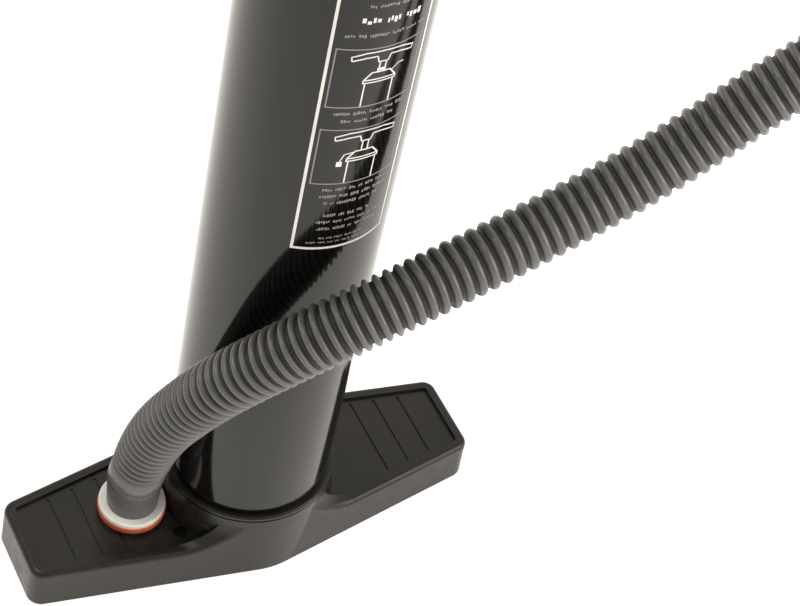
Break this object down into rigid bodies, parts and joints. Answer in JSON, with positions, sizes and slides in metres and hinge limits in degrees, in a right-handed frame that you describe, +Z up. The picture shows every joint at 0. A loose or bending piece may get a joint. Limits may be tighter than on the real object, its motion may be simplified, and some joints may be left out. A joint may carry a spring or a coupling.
{
  "type": "double action hand pump",
  "caption": "Floor-standing double action hand pump: long foot, upright barrel, T-handle plunger, check valves, relief plug and a corrugated hose with nozzle.",
  "frame": {"origin": "on the floor, on the barrel's axis, at the middle of the foot", "axes": "+Z up the barrel towards the handle, X along the foot and the handle with the hose connection at -X, -Y towards the side with the print"},
  "size_m": [0.7049, 0.3941, 0.579],
  "materials": {
    "foot_plastic": "satin moulded",
    "black_rubber": "matte",
    "steel": "zinc plated",
    "dark_steel": "black oxide",
    "barrel_gloss": "high gloss",
    "inner_plastic": "natural",
    "seal_rubber": "matte",
    "cap_plastic": "satin moulded",
    "bush_plastic": "smooth",
    "red_plug": "satin",
    "shaft_plastic": "satin",
    "handle_plastic": "satin moulded",
    "grip_rubber": "ribbed",
    "orange_ring": "satin",
    "white_ring": "satin",
    "hose_grey": "semi-gloss",
    "nozzle_plastic": "satin"
  },
  "bodies": {
    "base": {"barrel": "barrel_gloss", "barrel_seal": "seal_rubber", "cap_ring_retainer": "inner_plastic", "cap_seal": "seal_rubber", "cover_screws": "steel", "cylinder_liner": "inner_plastic", "deck_screws": "dark_steel", "foot_cover": "foot_plastic", "foot_pads": "black_rubber", "foot_shell": "foot_plastic", "hose": "hose_grey", "hose_cuff": "hose_grey", "hose_end_cuff": "hose_grey", "hose_spigot": "inner_plastic", "inlet_cage": "inner_plastic", "nozzle": "nozzle_plastic", "nozzle_seal": "seal_rubber", "port_gasket": "orange_ring", "port_nut": "white_ring", "ring_retainer": "inner_plastic", "shaft_bush": "bush_plastic", "shaft_wiper": "seal_rubber", "strap_anchor": "red_plug", "top_cap": "cap_plastic", "valve_plate": "inner_plastic"},
    "plunger": {"shaft": "shaft_plastic", "piston_lower_disc": "inner_plastic", "piston_upper_disc": "inner_plastic", "piston_seal": "seal_rubber", "piston_bolt": "steel", "lower_bump": "black_rubber", "upper_bump": "black_rubber", "handle_hub": "handle_plastic", "handle_pin": "steel", "grip_left": "grip_rubber", "grip_right": "grip_rubber", "grip_cap_left": "handle_plastic", "grip_cap_right": "handle_plastic"},
    "inlet_disc_body": {"inlet_disc": "seal_rubber"},
    "outlet_lower_body": {"outlet_ring_lower": "seal_rubber"},
    "outlet_upper_body": {"outlet_ring_upper": "seal_rubber"},
    "cap_ring_body": {"cap_ring": "seal_rubber"},
    "relief_plug_body": {"relief_plug": "red_plug"}
  },
  "joints": [
    {"name": "plunger_stroke", "type": "slide", "parent": "base", "child": "plunger", "axis": [0, 0, 1], "range_m": [0, 0.415]},
    {"name": "relief_plug_hinge", "type": "hinge", "parent": "base", "child": "relief_plug_body", "pos_m": [0.01804, -0.02653, 0.5215], "axis": [-0.3827, 0.9239, 0], "range_deg": [0, 150]},
    {"name": "inlet_disc_lift", "type": "slide", "parent": "base", "child": "inlet_disc_body", "axis": [0, 0, 1], "range_m": [0, 0.0018]},
    {"name": "outlet_lower_lift", "type": "slide", "parent": "base", "child": "outlet_lower_body", "axis": [0, 0, -1], "range_m": [0, 0.0015], "stiffness_N_per_m": 400},
    {"name": "outlet_upper_lift", "type": "slide", "parent": "base", "child": "outlet_upper_body", "axis": [0, 0, -1], "range_m": [0, 0.0015], "stiffness_N_per_m": 400},
    {"name": "cap_ring_lift", "type": "slide", "parent": "base", "child": "cap_ring_body", "axis": [0, 0, -1], "range_m": [0, 0.0015], "stiffness_N_per_m": 400}
  ]
}
